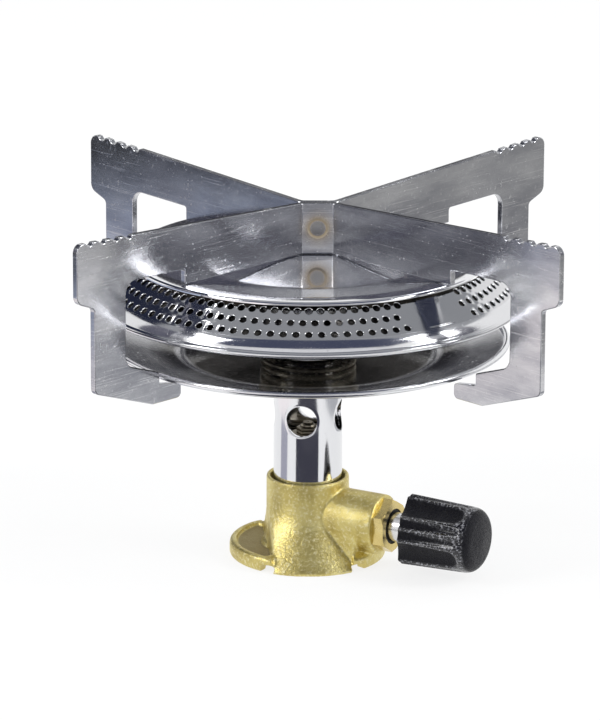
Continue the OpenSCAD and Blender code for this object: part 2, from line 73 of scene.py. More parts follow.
def smoothShade(obj, degrees):
    # smooth all over, apart from edges sharper than this
    mesh = obj.data
    mesh.polygons.foreach_set("use_smooth", np.ones(len(mesh.polygons), bool))
    mesh.set_sharp_from_angle(angle=math.radians(degrees))
    mesh.update()


def weld(obj, gap=seamGap):
    # merges the doubled seam points, then turns every face outwards
    bm = bmesh.new()
    bm.from_mesh(obj.data)
    bmesh.ops.remove_doubles(bm, verts=bm.verts, dist=gap)
    bmesh.ops.dissolve_degenerate(bm, edges=bm.edges, dist=gap)
    bmesh.ops.recalc_face_normals(bm, faces=bm.faces)
    bm.to_mesh(obj.data)
    bm.free()


def makeSkin(name, verts, faces, smoothDegrees=35, gap=seamGap):
    skin = makeObject(name, verts, faces)
    weld(skin, gap)
    smoothShade(skin, smoothDegrees)
    return skin


def gridFaces(rows, cols, closedRows=False, first=0):
    # quads of a grid of points: columns join end to start, and rows where they are closed
    steps = rows if closedRows else rows - 1
    i, j = np.meshgrid(np.arange(steps), np.arange(cols), indexing="ij")
    i2 = (i + 1) % rows
    j2 = (j + 1) % cols
    quads = np.stack([i * cols + j, i2 * cols + j, i2 * cols + j2, i * cols + j2], -1)
    return (quads.reshape(-1, 4) + first).tolist()


def joinGrids(grids, caps=()):
    # one mesh from several grids of points; a cap (grid, row) fills that row's ring with one face
    starts = np.cumsum([0] + [grid.shape[0] * grid.shape[1] for grid in grids]).tolist()
    faces = []
    for grid, first in zip(grids, starts):
        faces += gridFaces(*grid.shape[:2], first=first)
    for index, row in caps:
        rows, cols = grids[index].shape[:2]
        first = starts[index] + row % rows * cols
        faces.append(list(range(first, first + cols)))
    return np.concatenate([grid.reshape(-1, 3) for grid in grids]), faces


def unit(vectors):
    return vectors / np.linalg.norm(vectors, axis=-1, keepdims=True)


def roundedPath(corners, arcSteps=6):
    # corners (x, y, rounding): each inner one becomes an arc that touches both of its edges
    corner = np.array(corners, float)
    here = corner[1:-1, :2]
    rounding = corner[1:-1, 2:]
    before = unit(corner[:-2, :2] - here)
    after = unit(corner[2:, :2] - here)
    half = np.arccos(np.clip((before * after).sum(-1, keepdims=True), -1, 1)) / 2
    middle = here + unit(before + after) * rounding / np.sin(half)
    start = here + before * rounding / np.tan(half) - middle
    stop = here + after * rounding / np.tan(half) - middle
    sweep = (math.pi - 2 * half)[:, None]
    k = np.linspace(0, 1, arcSteps + 1)[:, None]
    swing = start[:, None] * np.sin((1 - k) * sweep) + stop[:, None] * np.sin(k * sweep)
    arcs = middle[:, None] + swing / np.sin(sweep)
    keep = (k[:, 0] == 0) | (rounding > 0)  # a sharp corner is one point
    return np.concatenate([corner[:1, :2], arcs[keep], corner[-1:, :2]])


def lathe(name, profile, steps=256):
    # a closed r-z profile carried round the z axis: x = r cos t, y = r sin t
    r, z = np.asarray(profile, float).T * mm
    turn = np.linspace(0, fullTurn, steps, endpoint=False)[:, None]
    points = np.stack([r * np.cos(turn), r * np.sin(turn), z + 0 * turn], -1)
    return makeSkin(name, points, gridFaces(steps, len(z), closedRows=True))


def dress(obj, material):
    obj.data.materials.clear()
    obj.data.materials.append(material)


def finishPiece(obj, material, body, slot, *nodes):
    dress(obj, material)
    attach(obj, body)
    if nodes:
        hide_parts(*nodes)


# Shader maths

def feed(tree, socket, value):
    # a wire is linked; a plain value is set on the socket itself, a colour with its alpha
    if isinstance(value, Wire):
        tree.links.new(value.socket, socket)
    elif socket.type == "RGBA":
        socket.default_value = (*value, 1)
    else:
        socket.default_value = value


class Wire:
    # one output socket; arithmetic on it adds Math nodes
    def __init__(self, tree, socket):
        self.tree = tree
        self.socket = socket

    def calc(self, operation, left, right):
        node = self.tree.nodes.new("ShaderNodeMath")
        node.operation = operation
        feed(self.tree, node.inputs[0], left)
        feed(self.tree, node.inputs[1], right)
        return Wire(self.tree, node.outputs[0])

    def __add__(self, other):
        return self.calc("ADD", self, other)

    __radd__ = __add__

    def __sub__(self, other):
        return self.calc("SUBTRACT", self, other)

    def __rsub__(self, other):
        return self.calc("SUBTRACT", other, self)

    def __mul__(self, other):
        return self.calc("MULTIPLY", self, other)

    __rmul__ = __mul__

    def __truediv__(self, other):
        return self.calc("DIVIDE", self, other)

    def __rtruediv__(self, other):
        return self.calc("DIVIDE", other, self)

    def power(self, other):
        return self.calc("POWER", self, other)

    def clamped(self):
        held = self.calc("ADD", self, 0.0)
        held.socket.node.use_clamp = True
        return held


class Finish:
    # a node tree and a short way to add to it; without a tree it makes a material
    def __init__(self, name, tree=None):
        if tree is None:
            self.material = bpy.data.materials.new(name)
            self.material.use_nodes = True
            tree = self.material.node_tree
        self.tree = tree
        self.shader = next((n for n in tree.nodes if n.type == "BSDF_PRINCIPLED"), None)

    def add(self, kind, settings=None, out=0, **inputs):
        # inputs go by the socket's name, or by its number as in0, in1
        node = self.tree.nodes.new(kind)
        for key, value in (settings or {}).items():
            if key == "stops":
                self.setStops(node.color_ramp, value)
            else:
                setattr(node, key, value)
        for key, value in inputs.items():
            which = int(key[2:]) if key.startswith("in") else key
            feed(self.tree, node.inputs[which], value)
        return Wire(self.tree, node.outputs[out])

    def setStops(self, ramp, stops):
        while len(ramp.elements) < len(stops):
            ramp.elements.new(0.5)
        for element, (place, tone) in zip(ramp.elements, stops):
            element.position = place
            element.color = (*tone, 1)

    def objectPlace(self, turn=(0, 0, 0), scale=(1, 1, 1)):
        place = self.add("ShaderNodeTexCoord", out=3)
        angles = tuple(math.radians(degrees) for degrees in turn)
        return self.add("ShaderNodeMapping", Vector=place, Rotation=angles, Scale=scale)

    def axes(self, place):
        # the three numbers of a place, apart
        node = self.add("ShaderNodeSeparateXYZ", Vector=place).socket.node
        return [Wire(self.tree, out) for out in node.outputs]

    def facingUp(self):
        # height of the surface's own normal: 1 looks up, -1 looks down
        return self.axes(self.add("ShaderNodeTexCoord", out=1))[2]

    def reach(self, a, b):
        # distance in mm from two numbers taken square to each other
        return (a * a + b * b).power(0.5) / mm

    def noise(self, place, scale, detail=2.0, rough=0.5):
        return self.add("ShaderNodeTexNoise", Vector=place, Scale=scale, Detail=detail,
                        Roughness=rough)

    def ramp(self, value, stops):
        return self.add("ShaderNodeValToRGB", {"stops": stops}, Fac=value)

    def span(self, value, low, high, outLow=0.0, outHigh=1.0):
        return self.add("ShaderNodeMapRange", in0=value, in1=low, in2=high, in3=outLow, in4=outHigh)

    def tint(self, factor, first, second):
        return self.add("ShaderNodeMix", {"data_type": "RGBA"}, out=2, in0=factor, in6=first,
                        in7=second)

    def bump(self, height, strength, distance, under=None):
        extra = {} if under is None else {"Normal": under}
        return self.add("ShaderNodeBump", Height=height, Strength=strength, Distance=distance, **extra)

    def put(self, **values):
        names = {"colour": "Base Color", "rough": "Roughness", "metal": "Metallic", "normal": "Normal",
                 "coat": "Coat Weight", "coatRough": "Coat Roughness",
                 "specular": "Specular IOR Level", "emission": "Emission Color",
                 "emissionStrength": "Emission Strength"}
        for key, value in values.items():
            feed(self.tree, self.shader.inputs[names[key]], value)
        return self.material


def greys(*stops):
    return [(place, (level,) * 3) for place, level in stops]


# Finishes

sheetLook = {"dark": (0.38, 0.385, 0.42), "light": (0.66, 0.665, 0.68), "worn": (0.82, 0.82, 0.82),
             "heat": (0.50, 0.36, 0.16), "pressed": (0.25, 0.25, 0.25), "rough": (0.12, 0.21),
             "sheetTurn": 45, "weldLift": 6.2, "weldEdge": (1.45, 1.85), "weldReach": 8.0,
             "scratches": ((25, 3600.0, 60.0, 0.67), (70, 3200.0, 70.0, 0.68),
                           (-35, 3400.0, 50.0, 0.69))}  # lean, scale across and along, cut


def scratchLines(f, lean, across, along, cut):
    # long thin streaks: a noise squeezed across one direction, cut near its crest
    place = f.objectPlace(turn=(lean, 0, sheetLook["sheetTurn"]), scale=(along, along, across))
    return f.span(f.noise(place, 1.0, 1.0, 0.4), cut, cut + 0.05)


def sheetSteel(name):
    # rolled stainless sheet: smears, dust, scratches in three directions, heat tint round the weld
    look = sheetLook
    f = Finish(name)
    place = f.objectPlace()
    first, second, third = (scratchLines(f, *line) for line in look["scratches"])
    marks = (first + second + third).clamped()
    dust = f.span(f.noise(place, 1300.0, 2.0), 0.62, 0.7)
    x, _, z = f.axes(place)
    reach = f.reach(x - supportX * mm, z - (discHigh[2] + look["weldLift"]) * mm)
    away = reach / look["weldReach"]
    halo = f.ramp(away, greys((0.0, 0), (0.2, 0.15), (0.245, 1), (0.29, 0.75), (0.4, 0.3), (0.62, 0)))
    dent = f.ramp(away, greys((0.0, 0.35), (0.21, 0.2), (0.245, 0), (0.3, 1)))
    middle = f.span(reach, *look["weldEdge"], 1.0, 0.0)
    along = f.objectPlace(turn=(0, 0, look["sheetTurn"]), scale=(1, 1, 3))
    smear = f.span(f.noise(along, 38.0, 4.0, 0.6), 0.34, 0.66)
    clean = f.tint(smear, look["dark"], look["light"])
    plain = f.tint((marks * 0.4 + dust * 0.28).clamped(), clean, look["worn"])
    base = f.tint(halo * 0.75, f.tint(middle * 0.75, plain, look["pressed"]), look["heat"])
    cloud = f.span(f.noise(place, 55.0, 3.0), 0.3, 0.7, *look["rough"])
    rough = cloud + marks * 0.06 + dust * 0.1 + halo * 0.15
    wave = f.bump(f.noise(place, 42.0, 1.0), 0.12, 0.001)
    grain = f.bump(f.noise(place, 900.0, 2.0), 0.02, 0.0002, wave)
    lines = f.bump(marks, 0.026, 0.0001, grain)
    pressed = f.bump(dent, 0.4, 0.0002, lines)
    return f.put(colour=base, rough=rough, metal=1.0, normal=pressed)


def mirrorSteel(name, tone, rough, paintedShade=None, paintedShadeTone=(0.03, 0.027, 0.022), matt=0.0):
    # polished stainless: nearly a mirror, with faint clouds and specks
    # the mask function gives the share darkened as painted shade, and matt dulls the rest
    f = Finish(name)
    place = f.objectPlace()
    cloud = f.noise(place, 90.0, 3.0)
    speck = f.span(f.noise(place, 1800.0, 1.0), 0.68, 0.74)
    base = f.tint(cloud, (tone * 0.96, tone * 0.97, tone), (tone * 1.04, tone * 1.04, tone * 1.06))
    gloss = f.span(cloud, 0.35, 0.7, *rough) + speck * 0.12
    wave = f.bump(f.noise(place, 60.0, 1.0), 0.03, 0.001)
    if paintedShade:
        x, y, z = f.axes(place)
        share = paintedShade(f, f.reach(x, y), z / mm, f.facingUp())
        # painted shade: the masked share turns to the dark tone
        base = f.tint(share, base, paintedShadeTone)
        gloss = gloss + (1.0 - share) * matt
    return f.put(colour=base, rough=gloss, metal=1.0, normal=wave)


# scale is the dark brown of the painted shade in the flange's pockets
brassLook = {"dark": (0.44, 0.345, 0.11), "middle": (0.655, 0.55, 0.20), "light": (0.80, 0.71, 0.32),
             "fleck": (0.84, 0.77, 0.46), "scale": (0.26, 0.21, 0.13), "rough": (0.36, 0.54),
             "pocketTop": (2.7, 3.1), "pocketReach": (16.1, 16.5)}


def forgedBrass(name):
    # forged brass: olive yellow with a fine sandy grain, with painted shade darkening the pockets of the
    # flange
    look = brassLook
    f = Finish(name)
    place = f.objectPlace()
    cloud = f.noise(place, 160.0, 4.0, 0.6)
    grain = f.noise(place, 1500.0, 3.0, 0.6)
    base = f.ramp(cloud, [(0.25, look["dark"]), (0.5, look["middle"]), (0.75, look["light"])])
    fleck = f.tint(f.span(grain, 0.5, 0.7), base, look["fleck"])
    x, y, z = f.axes(place)
    # painted shade: the flange's upward faces close round the foot go dark brown
    sunk = f.span(z / mm, *look["pocketTop"], 1.0, 0.0)
    sunk = sunk * f.span(f.reach(x, y), *look["pocketReach"], 1.0, 0.0)
    sunk = sunk * f.span(f.facingUp(), 0.7, 0.9)
    pocketShaded = f.tint(sunk * 0.7, fleck, look["scale"])
    rough = f.span(grain, 0.3, 0.7, *look["rough"]) + sunk * 0.15
    pits = f.bump(grain, 0.34, 0.0004)
    dents = f.bump(cloud, 0.12, 0.001, pits)
    return f.put(colour=pocketShaded, rough=rough, metal=1.0, normal=dents)


def ribbedBrass(name):
    # brass gone grey with heat, with close ribs round it; painted shade darkens the grooves between pale
    # crests
    f = Finish(name)
    place = f.objectPlace()
    rib = f.add("ShaderNodeTexWave", {"bands_direction": "Z"}, out=1, Vector=place, Scale=400.0)
    base = f.ramp(rib, [(0.15, (0.10, 0.085, 0.06)), (0.7, (0.50, 0.45, 0.35))])
    rough = f.span(f.noise(place, 900.0, 2.0), 0.3, 0.7, 0.32, 0.5)
    return f.put(colour=base, rough=rough, metal=1.0, normal=f.bump(rib, 0.5, 0.0002))


plasticLook = {"dark": (0.002, 0.002, 0.004), "light": (0.008, 0.008, 0.012),
               "rubbedHighlight": (0.36, 0.36, 0.39), "rough": (0.22, 0.42), "crest": (0.5, 0.12)}


def mouldedPlastic(name):
    # black moulded plastic with an orange-peel grain; a pale speckle on the ridges is rubbed wear and
    # painted highlight
    look = plasticLook
    shape = knobShape
    f = Finish(name)
    place = f.objectPlace()
    grain = f.noise(place, 1900.0, 3.0, 0.65)
    base = f.tint(f.noise(place, 120.0, 2.0), look["dark"], look["light"])
    x, y, z = f.axes(f.objectPlace(turn=(0, 0, -math.degrees(bossAngle))))
    along = (x / mm - shape["start"]) / (shape["length"] - shape["dome"])
    height = f.reach(y, z - bossHeight * mm) + along * shape["draft"]  # as if the side had no draft
    low, high = (shape["radius"] - depth for depth in look["crest"])
    ridge = f.span(height, low, high)
    # pale speckle on the crests: rubbed wear and painted highlight both
    worn = f.tint(ridge * f.span(grain, 0.52, 0.62) * 0.9, base, look["rubbedHighlight"])
    rough = f.span(grain, 0.35, 0.68, *look["rough"])
    peel = f.bump(grain, 0.6, 0.0005)
    return f.put(colour=worn, rough=rough, normal=peel, specular=0.14, coat=ridge, coatRough=0.14)


def cloudedFinish(name, scale, detail, stops, rough, metal=1.0, grain=None):
    # one noise gives both tone and gloss; grain (scale, detail, strength, depth) adds a fine bump
    f = Finish(name)
    place = f.objectPlace()
    cloud = f.noise(place, scale, detail)
    material = f.put(colour=f.ramp(cloud, stops), rough=f.span(cloud, 0.3, 0.7, *rough), metal=metal)
    if grain:
        f.put(normal=f.bump(f.noise(place, *grain[:2]), *grain[2:]))
    return material


# Places taken from the frame

def nodeBox(name):
    low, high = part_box(name)
    return np.array(low) / mm, np.array(high) / mm


discLow, discHigh = nodeBox("top_disc")
ringLow, ringHigh = nodeBox("flame_ring")
bowlLow, bowlHigh = nodeBox("burner_bowl")
trayLow, trayHigh = nodeBox("tray")
tubeLow, tubeHigh = nodeBox("mixing_tube")
springLow, springHigh = nodeBox("tray_spring")
frontLow, frontHigh = nodeBox("support_front")
bodyTop = nodeBox("valve_body")[1][2]
supportX = (frontLow[0] + frontHigh[0]) / 2  # the loose support sits a little to one side
bossAngle = math.radians(-29)  # the boss points to the front and right
bossHeight = 10.0

ringLean = 6.8  # how far the flame ring's foot stands out past its top
ringDrop = ringHigh[2] - ringLow[2]
ringSlope = math.hypot(ringLean, ringDrop)
ringTop = ringHigh[0] - ringLean


# Shares darkened as painted shade, from reach and height in mm and how far the surface looks up

# bands in mm for the painted shade; the tray's bend band is kept lighter as a painted reflection
paintedShadeBands = {"bowlBelow": (30.0, 40.0), "bowlWithin": (45.8, 46.4), "ringSkin": (-0.35, -0.15),
           "trayBend": (27.8, 28.6), "trayBendEnd": (30.0, 31.0), "trayFloor": (32.0, 37.0),
           "trayRim": (43.8, 44.4)}


def underside(f, reach, z, facing):
    # painted shade: surfaces that look down go dark
    return f.span(facing, -0.75, -0.5, 1.0, 0.0)


def bowlInside(f, reach, z, facing):
    # painted shade under the bowl's dish and inside its folded rim
    below = underside(f, reach, z, facing) * f.span(reach, *paintedShadeBands["bowlBelow"], 1.0, 0.1)
    within = f.span(facing, -0.2, 0.1) * f.span(reach, *paintedShadeBands["bowlWithin"], 1.0, 0.0)
    return (below + within).clamped()


def ringInside(f, reach, z, facing):
    # painted shade in the port walls and on the ring's inner face, by the depth below the outer cone,
    # square to it
    outwards = (reach - ringTop) * (ringDrop / ringSlope)
    upwards = (z - ringHigh[2]) * (ringLean / ringSlope)
    return f.span(outwards + upwards, *paintedShadeBands["ringSkin"], 1.0, 0.0)


def trayInside(f, reach, z, facing):
    # painted shade on the floor under the bowl; the floor's bend is kept brighter as a painted
    # reflection, and scattered flecks stay brighter too
    bend = f.span(reach, *paintedShadeBands["trayBend"]) * f.span(reach, *paintedShadeBands["trayBendEnd"], 1.0, 0.0)
    fleck = f.span(f.noise(f.objectPlace(), 1500.0, 2.0), 0.56, 0.66)
    within = f.span(reach, *paintedShadeBands["trayFloor"], 1.0, 0.2)
    within = within * f.span(reach, *paintedShadeBands["trayRim"], 1.0, 0.0)
    return f.span(facing, 0.5, 0.75) * within * (1.0 - bend * 0.9) * (1.0 - fleck * 0.35)


supportSheet = sheetSteel("supportSheet")
# cap, bowl, ring and tray carry painted shade from the masks above
capSteel = mirrorSteel("capSteel", tone=0.84, rough=(0.06, 0.13), paintedShade=underside)
bowlSteel = mirrorSteel("bowlSteel", tone=0.74, rough=(0.09, 0.19), paintedShade=bowlInside,
                        paintedShadeTone=(0.06, 0.05, 0.04))
ringSteel = mirrorSteel("ringSteel", tone=0.66, rough=(0.07, 0.16), paintedShade=ringInside)
traySteel = mirrorSteel("traySteel", tone=0.80, rough=(0.06, 0.14), paintedShade=trayInside,
                        paintedShadeTone=(0.055, 0.052, 0.048), matt=0.10)
tubeChrome = mirrorSteel("tubeChrome", tone=0.78, rough=(0.08, 0.14))
bodyBrass = forgedBrass("bodyBrass")
holderBrass = ribbedBrass("holderBrass")
nutBrass = cloudedFinish("nutBrass", scale=220.0, detail=3.0, rough=(0.16, 0.30),
                         stops=[(0.3, (0.60, 0.46, 0.16)), (0.7, (0.80, 0.66, 0.30))],
                         grain=(2600.0, 1.0, 0.06, 0.0002))
springWire = cloudedFinish("springWire", scale=500.0, detail=3.0, rough=(0.3, 0.42),
                           stops=[(0.3, (0.66, 0.60, 0.47)), (0.7, (0.95, 0.89, 0.75))])
softRubber = cloudedFinish("softRubber", scale=1400.0, detail=2.0, rough=(0.45, 0.7),
                           stops=[(0.0, (0.012, 0.012, 0.013)), (1.0, (0.035, 0.034, 0.033))],
                           grain=(1400.0, 2.0, 0.2, 0.0003), metal=0.0)
stemSteel = cloudedFinish("stemSteel", scale=300.0, detail=3.0, rough=(0.12, 0.26),
                          stops=[(0.0, (0.62, 0.62, 0.63)), (1.0, (0.8, 0.8, 0.79))])
print("stove: finishes made")


# Burner head

capDisc = {"edgeRound": 0.8, "moat": 1.2, "moatRadius": 26.0, "moatEdge": 37.0, "crown": 7.0,
           "moatRounds": (8.0, 14.0, 20.0), "underLip": 0.45, "lipThick": 0.05, "lipRun": 0.2,
           "lipRound": 0.1, "seatRun": 1.0, "plugRun": 4.0, "plugDeep": 1.0}


def makeCap():
    # a pressed disc, its profile carried round: plug and seat below, a lip, a top with a shallow moat
    s = capDisc
    radius, _, top = discHigh
    low = discLow[2]
    lip = low + s["underLip"]
    outerRound, moatRound, crownRound = s["moatRounds"]
    corners = [(0, low - s["plugDeep"], 0), (radius - s["plugRun"], low - s["plugDeep"], 0),
               (radius - s["seatRun"], low, 0), (radius - s["lipRun"], lip, s["lipRound"]),
               (radius, lip + s["lipThick"], s["lipRound"]), (radius, top, s["edgeRound"]),
               (s["moatEdge"], top, outerRound), (s["moatRadius"], top - s["moat"], moatRound),
               (s["crown"], top, crownRound), (0, top, 0)]
    piece = lathe("capDisc", roundedPath(corners))
    finishPiece(piece, capSteel, "stove", "stainless", "top_disc")


bowlShape = {"sheet": 0.8, "footRadius": 31.0, "footRound": 2.5, "skirtLean": 2.3, "skirtHeight": 3.6,
             "edgeRound": 0.2, "foldInside": (1.9, 0.9, 0.4),
             "fold": ((0.7, -0.5, 0.6), (0.0, 0.1, 0.35), (0.1, 0.75, 0.4), (0.75, 1.0, 0.3),
                      (1.25, 2.45, 5.5))}  # in from the rim, up from its height, rounding


def makeBowl():
    # a dish whose rim folds up into a leaning skirt, its profile carried round
    s = bowlShape
    rim, _, seat = bowlHigh
    foot = bowlLow[2]
    bore = tubeHigh[0]
    rimPlace = (rim, seat - s["skirtHeight"], 0)
    fold = np.array(s["fold"]) * (-1, 1, 1) + rimPlace
    inside = np.array(s["foldInside"]) * (-1, 1, 1) + rimPlace
    skirt = rim - s["skirtLean"]
    corners = [(bore, foot, 0), (s["footRadius"], foot, s["footRound"]), *fold,
               (skirt, seat, s["edgeRound"]), (skirt - s["sheet"], seat, s["edgeRound"]), inside,
               (s["footRadius"], foot + s["sheet"], s["footRound"]), (bore, foot + s["sheet"], 0)]
    piece = lathe("burnerBowl", roundedPath(corners))
    finishPiece(piece, bowlSteel, "stove", "stainless", "burner_bowl")


ringShape = {"sheet": 0.6, "pitches": 102, "rows": (0.15, 0.5, 0.85), "cellSteps": 4, "hole": 0.78,
             "lip": 1.05, "seam": -50.5, "plain": 20.0, "plateHub": 0.01,
             "roll": (0.1, 0.025), "mouth": (0.1, 0.01), "throat": (0.02, -0.08), "wallFrom": -0.3,
             "lapWide": 9.0, "lapLift": 0.35, "lapBed": 0.02, "lapRound": 0.12, "lapTop": 0.15,
             "lapFoot": 0.45, "lapSteps": 24, "lapEnd": 0.05}


def coneRadius(along):
    return ringTop + along * ringLean / ringSlope


def conePoint(turn, along, lift):
    # a place on the flame ring (mm): turn round the axis, along its slope from the top, lift off it
    r = coneRadius(along) + lift * ringDrop / ringSlope
    z = ringHigh[2] - along * ringDrop / ringSlope + lift * ringLean / ringSlope + 0 * turn
    return np.stack([r * np.cos(turn), r * np.sin(turn), z], -1) * mm


def boxRim(steps, left, right, low, high):
    # points round a rectangle, counter-clockwise from its lower left corner
    k = np.arange(steps) / steps
    bottom = np.stack([left + (right - left) * k, np.full(steps, low)], -1)
    side = np.stack([np.full(steps, right), low + (high - low) * k], -1)
    top = np.stack([right + (left - right) * k, np.full(steps, high)], -1)
    back = np.stack([np.full(steps, left), high + (low - high) * k], -1)
    return np.concatenate([bottom, side, top, back])


def ringCells(turns, centre, flat, lift):
    # one flat cell laid on the cone at each turn, about a line that far along the slope
    turn = turns[:, None, None] + flat[..., 0] / coneRadius(centre)
    return list(conePoint(turn, centre + flat[..., 1], lift))


def makeFlameRing():
    # a cell of the sheet for each port: rings of points from the cell's edge over the rolled lip,
    # down the wall of the hole and back out behind
    s = ringShape
    lip = s["lip"]
    hole = s["hole"]
    section = np.array([(lip, 0.0), (lip - s["roll"][0], s["roll"][1]),
                        (hole + s["mouth"][0], s["mouth"][1]), (hole + s["throat"][0], s["throat"][1]),
                        (hole, s["wallFrom"]), (hole, -s["sheet"])])
    lifts = np.concatenate([[0.0], section[:, 1], [-s["sheet"]]])[:, None]
    pitch = fullTurn / s["pitches"]
    centres = np.array(s["rows"]) * ringSlope
    bounds = np.concatenate([[0.0], (centres[:-1] + centres[1:]) / 2, [ringSlope]])
    grids = []
    caps = []
    for row, centre in enumerate(centres):
        turns = -math.pi / 2 + (np.arange(s["pitches"]) + row % 2 / 2) * pitch
        away = np.abs((np.degrees(turns) - s["seam"] + 180) % 360 - 180)
        half = pitch / 2 * coneRadius(centre)
        rim = boxRim(s["cellSteps"], -half, half, bounds[row] - centre, bounds[row + 1] - centre)
        port = np.concatenate([rim[None], section[:, :1, None] * unit(rim), rim[None]])
        plate = np.stack([rim, rim * s["plateHub"]])  # no port near the seam: whole, front and back
        plain = away < s["plain"] / 2
        grids += ringCells(turns[~plain], centre, port, lifts)
        for flat, lift, hub in ((plate, 0.0, 1), (plate[::-1], -s["sheet"], 0)):
            plates = ringCells(turns[plain], centre, flat, lift)
            caps += [(len(grids) + k, hub) for k in range(len(plates))]
            grids += plates
    steps = s["pitches"] * s["cellSteps"]
    turns = np.arange(steps) * pitch / s["cellSteps"] - math.pi / 2 + pitch / 2
    for along in (0.0, ringSlope):  # closes the sheet's top and bottom edges
        grids.append(conePoint(turns, along, np.array([[0.0], [-s["sheet"]]])))
    piece = makeSkin("flameRing", *joinGrids(grids, caps), 50, cellGap)
    finishPiece(piece, ringSteel, "stove", "stainless", "flame_ring")


def makeSeamLap():
    # the lapped end of the ring's strip: a thin patch over the plain stretch, let down at both ends
    s = ringShape
    foot = ringSlope - s["lapFoot"]
    section = roundedPath([(s["lapTop"], s["lapBed"], 0), (s["lapTop"], s["lapLift"], s["lapRound"]),
                           (foot, s["lapLift"], s["lapRound"]), (foot, s["lapBed"], 0)], 4)
    half = math.radians(s["lapWide"]) / 2
    turns = np.linspace(-half, half, s["lapSteps"])
    turns = np.concatenate([turns[:1], turns, turns[-1:]])[:, None]
    lifts = np.ones_like(turns)
    lifts[[0, -1]] = s["lapEnd"]
    points = conePoint(math.radians(s["seam"]) + turns, section[:, 0], section[:, 1] * lifts)
    piece = makeSkin("seamLap", *joinGrids([points], [(0, 0), (0, -1)]), 30)
    finishPiece(piece, ringSteel, "stove", "stainless")


# Tray, tube and spring

trayShape = {"sheet": 0.8, "bead": 0.75, "floor": 29.0, "floorBend": 5.0, "hubHeight": 2.0,
             "hubGap": 0.1, "hubRounds": (0.6, 0.2), "beadDrop": 0.2, "wallIn": 0.3, "wallStep": 0.1,
             "curl": (-1.9, 3.2), "curlSteps": 18}


def makeTray():
    # a shallow dish with a rolled bead at its rim and a collar at its hub, its profile carried round
    s = trayShape
    rim, _, top = trayHigh
    low = trayLow[2]
    up = low + s["sheet"]
    hub = tubeHigh[0] + s["hubGap"]
    collar = hub + s["sheet"]
    bead = s["bead"]
    beadR = rim - bead
    beadZ = top - bead
    under = beadZ - bead - s["beadDrop"]
    turn = np.linspace(*s["curl"], s["curlSteps"])
    curl = np.stack([beadR + bead * np.cos(turn), beadZ + bead * np.sin(turn)], -1)
    lower = roundedPath([(hub, low, 0), (s["floor"], low, s["floorBend"]),
                         (beadR - s["wallIn"], under, 0)], 8)
    upper = roundedPath([(beadR - bead, under + s["sheet"] + s["wallStep"], 0),
                         (s["floor"], up, s["floorBend"]), (collar, up, s["hubRounds"][0]),
                         (collar, low + s["hubHeight"], s["hubRounds"][1]),
                         (hub, low + s["hubHeight"], 0)], 8)
    piece = lathe("dripTray", np.concatenate([lower, curl, upper]))
    finishPiece(piece, traySteel, "tray", "stainless", "tray")


tubeShape = {"wall": 0.8, "hole": 3.6, "firstHole": -101.6, "airHeight": 14.7, "cellReach": 5.4,
             "sideSteps": 20, "holeSteps": 7, "outerMouth": (0.25, 0.12), "innerMouth": (0.1, -0.05)}


def makeTube():
    # four quarter cells, each with a round air hole drilled square to the axis: rings of points
    # from the cell's edge to the hole, outside and then inside; plain lengths above and below
    s = tubeShape
    outer = tubeHigh[0]
    inner = outer - s["wall"]
    airZ = bodyTop + s["airHeight"]
    reach = s["cellReach"]
    half = math.pi / 4
    firstHole = math.radians(s["firstHole"])
    rim = boxRim(s["sideSteps"], -half, half, -reach, reach)
    angle = np.arctan2(rim[:, 1] / reach, rim[:, 0] / half)
    steps = np.linspace(0, 1, s["holeSteps"])[:, None, None]
    grids = []
    for middle in firstHole + np.arange(4) * math.pi / 2:
        layers = []
        for radius, (rounding, sunk) in ((outer, s["outerMouth"]), (inner, s["innerMouth"])):
            across = np.arcsin(s["hole"] * np.cos(angle) / radius)
            hole = np.stack([across, s["hole"] * np.sin(angle)], -1)
            wide = hole * (1 + rounding / s["hole"])
            sheet = np.concatenate([rim * (1 - steps) + wide * steps, hole[None]])
            depth = np.full((len(sheet), 1), radius)
            depth[-1] -= sunk
            turn = middle + sheet[..., 0]
            layers.append(np.stack([depth * np.cos(turn), depth * np.sin(turn),
                                    airZ + sheet[..., 1]], -1))
        grids.append(np.concatenate([layers[0], layers[1][::-1]]) * mm)
    turns = np.linspace(0, fullTurn, len(rim), endpoint=False) + firstHole + half
    r = np.array([outer, outer, inner, inner])[:, None]
    for near, far in ((airZ - reach, tubeLow[2]), (airZ + reach, tubeHigh[2])):
        z = np.array([near, far, far, near])[:, None] + 0 * turns
        grids.append(np.stack([r * np.cos(turns), r * np.sin(turns), z], -1) * mm)
    piece = makeSkin("mixingTube", *joinGrids(grids), 40, cellGap)
    finishPiece(piece, tubeChrome, "stove", "chrome", "mixing_tube")


springShape = {"wire": 1.2, "turns": 3.5, "steps": 64, "sides": 14, "startTurn": 60.0}


def makeSpring():
    # a round wire carried along a helix; its frame leans with the lead
    s = springShape
    wire = s["wire"] / 2
    radius = springHigh[0] - wire
    low = springLow[2] + wire
    high = springHigh[2] - wire
    k = np.linspace(0, 1, int(s["turns"] * s["steps"]) + 1)
    turn = math.radians(s["startTurn"]) + k * s["turns"] * fullTurn
    lead = (high - low) / s["turns"] / (fullTurn * radius)
    outward = np.stack([np.cos(turn), np.sin(turn), 0 * turn], -1)
    across = unit(np.stack([np.sin(turn) * lead, -np.cos(turn) * lead, 1 + 0 * turn], -1))
    rise = np.stack([0 * k, 0 * k, low + (high - low) * k], -1)
    centre = radius * outward + rise
    phi = np.linspace(0, fullTurn, s["sides"], endpoint=False)[None, :, None]
    tube = centre[:, None] + wire * (outward[:, None] * np.cos(phi) + across[:, None] * np.sin(phi))
    piece = makeSkin("traySpring", *joinGrids([tube * mm], [(0, 0), (0, -1)]), 60)
    finishPiece(piece, springWire, "stove", "spring_steel", "tray_spring")
    travel = next(j for j in frame["joints"] if j["name"] == "tray_press")["range_m"][1]
    length = (springHigh[2] - springLow[2]) * mm
    1 - travel / length
    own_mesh(piece)


# Pot support

